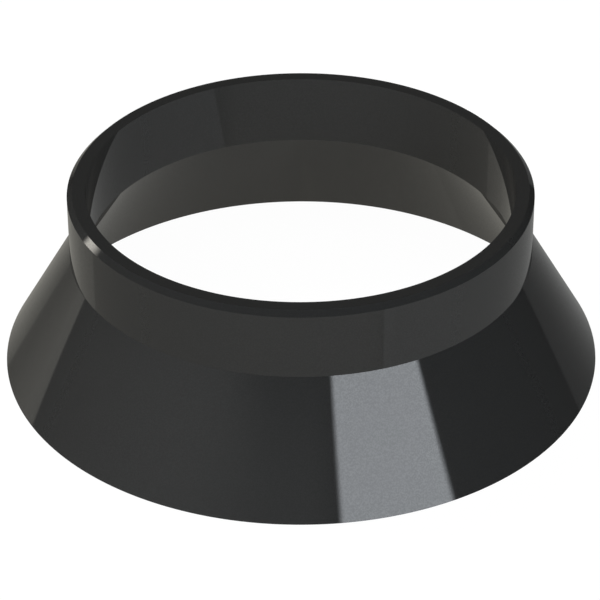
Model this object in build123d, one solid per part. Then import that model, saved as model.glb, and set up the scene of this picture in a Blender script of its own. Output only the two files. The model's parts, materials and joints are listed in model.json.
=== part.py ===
from build123d import *
import math
import os

# Weathering apron for a soil vent pipe, in millimetres.
# One moulding: a straight collar that slips down over the pipe, and a conical skirt
# that sheds rain over the upstand of the roof slate below it.
# The origin is at the centre of the open base and +Z runs up the pipe.

# Pipe that passes through the collar
pipe_diameter = 110.0
pipe_clearance = 0.25       # radial gap between the pipe and the bore

# Collar
collar_wall = 4.75
collar_height = 18.64       # outside, from the skirt up to the rim
rim_chamfer = 1.35          # leg of the 45 degree chamfer around the rim

# Skirt
base_diameter = 156.1
skirt_angle = 30.0          # slope of the skirt, measured from the pipe's axis
skirt_wall = 4.33           # measured square to the slope

bore_radius = pipe_diameter / 2 + pipe_clearance
collar_radius = bore_radius + collar_wall
base_radius = base_diameter / 2

# The skirt's wall is cut level at the base, so its ring there is wider than the wall.
base_inner_radius = base_radius - skirt_wall / math.cos(math.radians(skirt_angle))

# Heights where the skirt's two faces turn into the collar, and of the rim above them
slope = math.tan(math.radians(skirt_angle))
outer_crease = (base_radius - collar_radius) / slope
inner_crease = (base_inner_radius - bore_radius) / slope
rim_height = outer_crease + collar_height


def wall_section():
    """Half section of the moulding, from the open base up to the rim."""
    with BuildSketch(Plane.XZ) as section:
        with BuildLine():
            Polyline(
                (base_inner_radius, 0),
                (base_radius, 0),
                (collar_radius, outer_crease),
                (collar_radius, rim_height),
                (bore_radius, rim_height),
                (bore_radius, inner_crease),
                close=True,
            )
        make_face()
        # In the sketch's own plane X is the radius and Y is the height.
        rim_corners = section.vertices().group_by(Axis.Y)[-1]
        chamfer(rim_corners.sort_by(Axis.X)[-1], length=rim_chamfer)
    return section.sketch


def weathering_apron():
    """The section turned about the pipe's axis."""
    with BuildPart() as moulding:
        add(wall_section())
        revolve(axis=Axis.Z)
    return moulding.part


os.makedirs("parts", exist_ok=True)
export_step(weathering_apron(), "parts/weathering_apron.step")
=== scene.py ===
import json
import math

import bmesh
import bpy
from mathutils import Matrix, Vector


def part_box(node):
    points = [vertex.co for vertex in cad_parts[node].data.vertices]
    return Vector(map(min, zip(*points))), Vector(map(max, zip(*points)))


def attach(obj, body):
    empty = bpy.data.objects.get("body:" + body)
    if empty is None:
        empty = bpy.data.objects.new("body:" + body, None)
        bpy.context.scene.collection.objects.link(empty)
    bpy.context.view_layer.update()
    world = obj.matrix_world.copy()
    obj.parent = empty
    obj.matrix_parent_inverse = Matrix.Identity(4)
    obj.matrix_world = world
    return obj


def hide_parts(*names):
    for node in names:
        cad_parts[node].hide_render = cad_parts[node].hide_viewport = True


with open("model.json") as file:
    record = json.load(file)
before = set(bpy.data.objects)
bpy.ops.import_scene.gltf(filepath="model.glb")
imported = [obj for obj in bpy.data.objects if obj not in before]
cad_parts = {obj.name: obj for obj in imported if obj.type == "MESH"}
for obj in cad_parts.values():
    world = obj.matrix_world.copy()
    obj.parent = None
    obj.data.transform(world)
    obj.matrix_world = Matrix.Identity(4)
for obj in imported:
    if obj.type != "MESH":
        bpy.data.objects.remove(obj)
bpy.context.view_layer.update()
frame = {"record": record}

# Weathering apron: one glossy black moulding, a collar for the pipe over a conical skirt.
# Everything is in metres, with the open base on z = 0 and the pipe's axis along z.

# Sizes of the moulding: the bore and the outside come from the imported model
MOUNTS = {mount["name"]: mount for mount in frame["record"]["mounts"]}
BORE_RADIUS = MOUNTS["pipe_bore"]["dims"]["r_mm"] / 1000
BASE_RADIUS, _, RIM_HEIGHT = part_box("weathering_apron")[1]
COLLAR_WALL = 0.00475
RIM_CHAMFER = 0.00135
SKIRT_ANGLE = math.radians(30)      # slope of the skirt, measured from the pipe's axis
SKIRT_WALL = 0.00433                # measured square to the slope
COLLAR_RADIUS = BORE_RADIUS + COLLAR_WALL
BASE_INNER_RADIUS = BASE_RADIUS - SKIRT_WALL / math.cos(SKIRT_ANGLE)
OUTER_CREASE = (BASE_RADIUS - COLLAR_RADIUS) / math.tan(SKIRT_ANGLE)
INNER_CREASE = (BASE_INNER_RADIUS - BORE_RADIUS) / math.tan(SKIRT_ANGLE)
TURN_STEPS = 360                    # facets round the moulding
CRISP_ANGLE = math.radians(20)      # edges that fold more than this stay crisp
MERGE_DISTANCE = 0.000001

# Plastic: a soft cloud of tones about 26 mm across, and a grain of specks about 0.4 mm across
CLOUD = {"Scale": 38.0, "Detail": 3.0, "Roughness": 0.5}
GRAIN = {"Scale": 2800.0, "Detail": 1.0, "Roughness": 0.5}
SPECK_START, SPECK_FULL = 0.40, 0.64        # how high the grain stands where a speck shows
CLOUD_TONE, SPECK_TONE = 0.4, 0.6           # their shares in the colour
DEEP_BLACK = (0.0217, 0.0216, 0.0210, 1)
SOFT_BLACK = (0.0269, 0.0268, 0.0262, 1)
POLISHED_ROUGHNESS = 0.022
CLOUD_ROUGHNESS, GRAIN_ROUGHNESS = 0.010, 0.006     # added at the most by each
SPECK_COAT = 0.24
COAT_ROUGHNESS = 0.03
PLASTIC_IOR = 1.48

# Camera: the photograph's own viewpoint, on a 600 by 600 picture
FOCAL_PIXELS = 2855.5
PICTURE_PIXELS = 600
SENSOR = 36.0
CAMERA_DISTANCE = 0.7602
CAMERA_ELEVATION = math.radians(33.346)
CAMERA_ROLL = math.radians(-0.181)
CAMERA_ASIDE = -0.000262
CAMERA_RAISE = 0.011814

# Studio
FLOOR_RADIUS = 0.6
FLOOR_SIDES = 96
FLOOR_DROP = 0.0001                 # keeps the floor clear of the base that stands on it
PALE = (0.8, 0.8, 0.79, 1)
WHITE = (1, 1, 1, 1)
FLOOR_GLOW = 1.03
FLOOR_WHITE_SHARE = 0.95            # the rest is painted, and shows the moulding's shadow


class Wire:
    """A value in a material's or the world's node tree; sums on it add Math nodes."""

    def __init__(self, tree, socket=None):
        self.tree = tree
        self.socket = socket

    def node(self, kind, settings=None, values=None, out=0):
        """Adds a node of any kind: its settings first, then the values or links of its sockets."""
        new = self.tree.nodes.new(kind)
        for name, value in (settings or {}).items():
            setattr(new, name, value)
        for name, value in (values or {}).items():
            if isinstance(value, Wire):
                self.tree.links.new(value.socket, new.inputs[name])
            else:
                new.inputs[name].default_value = value
        return Wire(self.tree, new.outputs[out] if new.outputs else None)

    def outputs(self, kind, values, *names):
        """Adds a node and gives several of its outputs."""
        new = self.node(kind, None, values).socket.node
        return [Wire(self.tree, new.outputs[name]) for name in names]

    def math(self, operation, *values):
        return self.node("ShaderNodeMath", {"operation": operation}, dict(enumerate(values)))

    def __add__(self, other):
        return self.math("ADD", self, other)

    __radd__ = __add__

    def __sub__(self, other):
        return self.math("SUBTRACT", self, other)

    def __rsub__(self, other):
        return self.math("SUBTRACT", other, self)

    def __mul__(self, other):
        return self.math("MULTIPLY", self, other)

    __rmul__ = __mul__

    def step(self, low, high):
        """0 below low, 1 above high, and smooth between them."""
        return self.node("ShaderNodeMapRange", {"interpolation_type": "SMOOTHSTEP"},
                         {"Value": self, "From Min": low, "From Max": high})


def new_material(name):
    """An empty material and the wire that starts its nodes."""
    material = bpy.data.materials.new(name)
    material.use_nodes = True
    material.node_tree.nodes.clear()
    return material, Wire(material.node_tree)


def gloss_black_plastic():
    """Black moulded plastic off a polished tool, with a fine grain in its colour and gloss."""
    material, wire = new_material("gloss_black_plastic")
    place = wire.node("ShaderNodeTexCoord", out="Object")
    cloud = wire.node("ShaderNodeTexNoise", None, {"Vector": place, **CLOUD})
    grain = wire.node("ShaderNodeTexNoise", None, {"Vector": place, **GRAIN})
    speck = grain.step(SPECK_START, SPECK_FULL)
    colour = wire.node("ShaderNodeMix", {"data_type": "RGBA"},
                       {"Factor": CLOUD_TONE * cloud + SPECK_TONE * speck,
                        "A": DEEP_BLACK, "B": SOFT_BLACK}, out="Result")
    roughness = POLISHED_ROUGHNESS + CLOUD_ROUGHNESS * cloud + GRAIN_ROUGHNESS * grain
    plastic = wire.node("ShaderNodeBsdfPrincipled", None,
                        {"Base Color": colour, "Roughness": roughness,
                         "Coat Weight": SPECK_COAT * speck, "Coat Roughness": COAT_ROUGHNESS,
                         "IOR": PLASTIC_IOR})
    wire.node("ShaderNodeOutputMaterial", None, {"Surface": plastic})
    return material


def turned_moulding(name):
    """The wall's section turned round the pipe's axis, with every edge crisp."""
    section = [
        (BASE_INNER_RADIUS, 0),
        (BASE_RADIUS, 0),
        (COLLAR_RADIUS, OUTER_CREASE),
        (COLLAR_RADIUS, RIM_HEIGHT - RIM_CHAMFER),
        (COLLAR_RADIUS - RIM_CHAMFER, RIM_HEIGHT),
        (BORE_RADIUS, RIM_HEIGHT),
        (BORE_RADIUS, INNER_CREASE),
    ]
    shape = bmesh.new()
    corners = [shape.verts.new((radius, 0, height)) for radius, height in section]
    sides = [shape.edges.new(pair) for pair in zip(corners, corners[1:] + corners[:1])]
    bmesh.ops.spin(shape, geom=corners + sides, cent=(0, 0, 0), axis=(0, 0, 1),
                   angle=math.tau, steps=TURN_STEPS, use_merge=True)
    bmesh.ops.remove_doubles(shape, verts=shape.verts, dist=MERGE_DISTANCE)
    bmesh.ops.recalc_face_normals(shape, faces=shape.faces)
    for face in shape.faces:
        face.smooth = True
    for edge in shape.edges:
        edge.smooth = edge.calc_face_angle(0) < CRISP_ANGLE
    mesh = bpy.data.meshes.new(name)
    shape.to_mesh(mesh)
    shape.free()
    piece = bpy.data.objects.new(name, mesh)
    bpy.context.collection.objects.link(piece)
    return piece


def looks_through(wire):
    """1 for the camera's rays, also for those that have passed through something clear."""
    camera, through = wire.outputs("ShaderNodeLightPath", None,
                                   "Is Camera Ray", "Is Transmission Ray")
    return camera + through


def pale_floor():
    """Pale studio floor: white to the camera, with the moulding's soft shadow left on it.

    The gloss looks past it to the studio's own ground, which is among the cards below."""
    material, wire = new_material("pale_floor")
    glow = wire.node("ShaderNodeEmission", None, {"Color": WHITE, "Strength": FLOOR_GLOW})
    paint = wire.node("ShaderNodeBsdfDiffuse", None, {"Color": PALE})
    clear = wire.node("ShaderNodeBsdfTransparent", None, {"Color": WHITE})
    lit = wire.node("ShaderNodeMixShader", None, {0: FLOOR_WHITE_SHARE, 1: paint, 2: glow})
    surface = wire.node("ShaderNodeMixShader", None, {0: looks_through(wire), 1: clear, 2: lit})
    wire.node("ShaderNodeOutputMaterial", None, {"Surface": surface})

    shape = bmesh.new()
    bmesh.ops.create_circle(shape, cap_ends=True, segments=FLOOR_SIDES, radius=FLOOR_RADIUS,
                            matrix=Matrix.Translation((0, 0, -FLOOR_DROP)))
    mesh = bpy.data.meshes.new("studio_floor")
    shape.to_mesh(mesh)
    shape.free()
    mesh.materials.append(material)
    floor = bpy.data.objects.new("studio_floor", mesh)
    bpy.context.collection.objects.link(floor)


# Soft surroundings that the gloss picks up, in degrees of azimuth and elevation. Each card has its
# radiance and its four edges: start and end going round from +x, then low and high. An edge is
# where it stands and how softly it ends, and None where the card has no edge. A third number is
# how much further round an edge on the ground stands where the ground is farther off.
HORIZON_LEFT = (-1.92, 0.6)
HORIZON_RIGHT = (-5.08, 0.6)
GROUND_EDGE = (311, 1, 8.4)
GROUND_EDGE_BACK = (GROUND_EDGE[0] - 360, *GROUND_EDGE[1:])     # the same, from the back
FARTHER = (-31.0, -28.4)            # elevations between which the ground turns from near to far
WARM_CARDS = {
    "ground_back_left": (0.10, (85, 30), (128.2, 2), None, (-9.0, 4)),
    "ground_back_left_near": (0.198, (94, 26), (128.2, 2), (-61, 56), (-13.0, 19)),
    "ground_left": (0.10, (128.2, 2), (146.2, 0.7), None, (-22, 4)),
    "ground_left_near": (0.18, (128.2, 2), (146.2, 0.7), (-70, 56), (-22, 4)),
    "ground_front": (0.195, (146.2, 0.7), GROUND_EDGE, None, (-22, 4)),
    "ground_front_far": (0.165, (128.2, 2), GROUND_EDGE, (-22, 4), HORIZON_LEFT),
    "lit_patch_left": (0.36, (144, 28), (172, 16), (-18, 4), HORIZON_LEFT),
    "ground_right_low": (0.146, GROUND_EDGE_BACK, (85, 30), None, (-38, 12)),
    "dim_back": (0.012, (75, 20), (115, 20), (22, 10), None),
    "underneath": (0.05, (-75, 24), (150, 20), None, (-76, 36)),
    "underneath_back": (0.06, (85, 30), (146.2, 0.7), None, (-85, 6)),
    "side_lamp_halo": (0.045, (141, 12), (160, 6), (3, 8), (24, 5)),
}
PLAIN_CARDS = {
    "ground_right": (0.125, GROUND_EDGE, (405, 6), (-38, 12), HORIZON_RIGHT),
    "ground_back_right": (0.125, (45, 6), (85, 30), (-38, 12), (-4.4, 1.6)),
    "ground_right_near": (0.113, GROUND_EDGE_BACK, (86, 24), (-64, 56), (-16, 22)),
    "ground_right_front": (0.132, GROUND_EDGE, (358, 70), None, (-24, 6)),
    "ground_front_middle": (0.12, (200, 110), (311, 20), None, (-22, 4)),
    "dim_room": (0.04, (122, 20), (395, 40), HORIZON_RIGHT, None),
    "wall_left": (0.19, (163, 50), (280, 20), HORIZON_LEFT, (24.5, 5)),
    "wall_front_left": (0.155, (196, 50), (244, 36), HORIZON_LEFT, (24.5, 5)),
}
WARM = (1.0, 0.975, 0.88, 1)
PLAIN = (0.99, 1.0, 0.985, 1)
SECOND_LOOK = (1.4, 1.6)            # glossy depth between a first reflection and a second one
SHADE_WITHIN = 0.75                 # light that a second reflection, inside the hollow, loses


def studio_surroundings():
    """White behind the scene to the camera, and dim soft cards all round to everything else."""
    world = bpy.data.worlds.new("studio_surroundings")
    world.use_nodes = True
    world.node_tree.nodes.clear()
    bpy.context.scene.world = world
    wire = Wire(world.node_tree)
    second = wire.node("ShaderNodeLightPath", out="Glossy Depth").step(*SECOND_LOOK)
    direction = wire.node("ShaderNodeTexCoord", out="Generated")
    x, y, z = wire.outputs("ShaderNodeSeparateXYZ", {"Vector": direction}, "X", "Y", "Z")
    elevation = wire.math("DEGREES", wire.math("ARCSINE", z))
    # Azimuth twice: from -90 to 270, and from 90 to 450 for the cards that lie over the front
    from_back = wire.math("DEGREES", wire.math("ARCTAN2", 0 - x, y)) + 90
    from_front = wire.math("DEGREES", wire.math("ARCTAN2", x, 0 - y)) + 270
    farther = elevation.step(*FARTHER)

    def beyond(value, edge):
        place, softness, *lean = edge
        if lean:
            value = value - lean[0] * farther
        return value.step(place - softness / 2, place + softness / 2)

    def total(cards):
        light = 0.0
        for radiance, start, end, low, high in cards.values():
            azimuth = from_front if end and end[0] + end[1] / 2 > 270 else from_back
            card = radiance
            for value, near, far in ((azimuth, start, end), (elevation, low, high)):
                if near:
                    card = beyond(value, near) * card
                if far:
                    card = (1 - beyond(value, far)) * card
            light = card + light
        return light

    behind = looks_through(wire)
    shown = (1 - behind) * (1 - SHADE_WITHIN * second)
    white = wire.node("ShaderNodeBackground", None, {"Color": WHITE, "Strength": behind})
    warm = wire.node("ShaderNodeBackground", None,
                     {"Color": WARM, "Strength": shown * total(WARM_CARDS)})
    plain = wire.node("ShaderNodeBackground", None,
                      {"Color": PLAIN, "Strength": shown * total(PLAIN_CARDS)})
    both = wire.node("ShaderNodeAddShader", None, {0: warm, 1: plain})
    everything = wire.node("ShaderNodeAddShader", None, {0: both, 1: white})
    wire.node("ShaderNodeOutputWorld", None, {"Surface": everything})


# Softboxes: radiance, both sides as azimuth and softness, lower and upper elevation in degrees,
# colour, and whether the gloss shows them. They stand upright and far off, so that their sides
# stay upright in the gloss.
LAMP_DISTANCE = 10.0
LAMP_WHITE = (1.0, 1.0, 0.98)
UPRIGHT_LAMPS = {
    "key_softbox": (5.5, (284.07, 3.1), (324.8, 3.1), 14, 27, (0.898, 0.948, 1.0), True),
    "side_softbox": (6.0, (150.1, 3.6), (156.45, 6.2), 12, 26, (1.0, 0.96, 0.87), True),
    "low_front_softbox": (2.25, (212, 2), (268, 2), 1, 14, (0.97, 1.0, 1.04), True),
    "back_softbox": (7.6, (100, 2), (150, 2), 41, 60, LAMP_WHITE, True),
    "left_fill": (1.15, (165, 2), (230, 2), 25, 60, LAMP_WHITE, False),
    "front_fill": (0.6, (245, 2), (315, 2), 2, 38, (0.7, 1.0, 1.35), False),
}
TOP_RADIANCE = 1.3
TOP_HALF_ANGLE = math.radians(28)
BOUNCE_RADIANCE = 1.03
BOUNCE_DEPTH = 3.0
BOUNCE_ACROSS = 40.0
BOUNCE_COLOUR = (1.0, 0.98, 0.93)


def add_lamp(name, radiance, place, turn, width, height, colour, in_gloss=True):
    """One evenly bright panel of light that the camera itself doesn't see."""
    light = bpy.data.lights.new(name, "AREA")
    light.shape = "RECTANGLE"
    light.size = width
    light.size_y = height
    light.energy = radiance * math.pi * width * height
    light.color = colour
    lamp = bpy.data.objects.new(name, light)
    lamp.matrix_world = Matrix.Translation(place) @ turn
    lamp.visible_camera = False
    lamp.visible_glossy = in_gloss
    bpy.context.collection.objects.link(lamp)
    return light


def soften_sides(light, half, start_softness, end_softness):
    """Lets a panel fade out over its two upright sides."""
    light.use_nodes = True
    light.node_tree.nodes.clear()
    wire = Wire(light.node_tree)
    place = wire.node("ShaderNodeNewGeometry", out="Parametric")
    across = wire.node("ShaderNodeSeparateXYZ", None, {"Vector": place}, out="X")
    start, end = [(1 - math.tan(half - softness) / math.tan(half)) / 2
                  for softness in (start_softness, end_softness)]
    strength = across.step(0, start) * (1 - across.step(1 - end, 1))
    glow = wire.node("ShaderNodeEmission", None, {"Color": WHITE, "Strength": strength})
    wire.node("ShaderNodeOutputLight", None, {"Surface": glow})


def studio_lamps():
    for name, (radiance, start, end, low, high, colour, in_gloss) in UPRIGHT_LAMPS.items():
        first, last = start[0] - start[1] / 2, end[0] + end[1] / 2
        turn, half = math.radians((first + last) / 2), math.radians((last - first) / 2)
        bottom = LAMP_DISTANCE * math.tan(math.radians(low))
        top = LAMP_DISTANCE * math.tan(math.radians(high))
        place = (LAMP_DISTANCE * math.cos(turn), LAMP_DISTANCE * math.sin(turn),
                 (bottom + top) / 2)
        upright = (Matrix.Rotation(turn + math.pi / 2, 4, "Z")
                   @ Matrix.Rotation(math.pi / 2, 4, "X"))
        light = add_lamp(name, radiance, place, upright, 2 * LAMP_DISTANCE * math.tan(half),
                         top - bottom, colour, in_gloss)
        soften_sides(light, half, math.radians(start[1]), math.radians(end[1]))
    across = LAMP_DISTANCE * math.tan(TOP_HALF_ANGLE) * math.sqrt(math.pi)
    add_lamp("top_softbox", TOP_RADIANCE, (0, 0, LAMP_DISTANCE), Matrix.Identity(4),
             across, across, LAMP_WHITE)
    add_lamp("floor_bounce", BOUNCE_RADIANCE, (0, 0, -BOUNCE_DEPTH),
             Matrix.Rotation(math.pi, 4, "X"), BOUNCE_ACROSS, BOUNCE_ACROSS, BOUNCE_COLOUR,
             in_gloss=False)


def photo_camera():
    """The photograph's viewpoint, on the -y side and above."""
    back = Vector((0, -math.cos(CAMERA_ELEVATION), math.sin(CAMERA_ELEVATION)))
    right = Vector((1, 0, 0))
    up = back.cross(right)
    place = CAMERA_DISTANCE * back + CAMERA_ASIDE * right + CAMERA_RAISE * up
    level = Matrix((right, up, back)).transposed().to_4x4()
    data = bpy.data.cameras.new("photo_camera")
    data.sensor_width = SENSOR
    data.lens = SENSOR * FOCAL_PIXELS / PICTURE_PIXELS
    camera = bpy.data.objects.new("photo_camera", data)
    camera.matrix_world = Matrix.Translation(place) @ level @ Matrix.Rotation(CAMERA_ROLL, 4, "Z")
    bpy.context.collection.objects.link(camera)
    bpy.context.scene.camera = camera


bpy.context.scene.view_settings.view_transform = "Standard"
moulding = turned_moulding("apron_moulding")
moulding.data.materials.append(gloss_black_plastic())
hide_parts("weathering_apron")
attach(moulding, "root")
pale_floor()
studio_surroundings()
studio_lamps()
photo_camera()
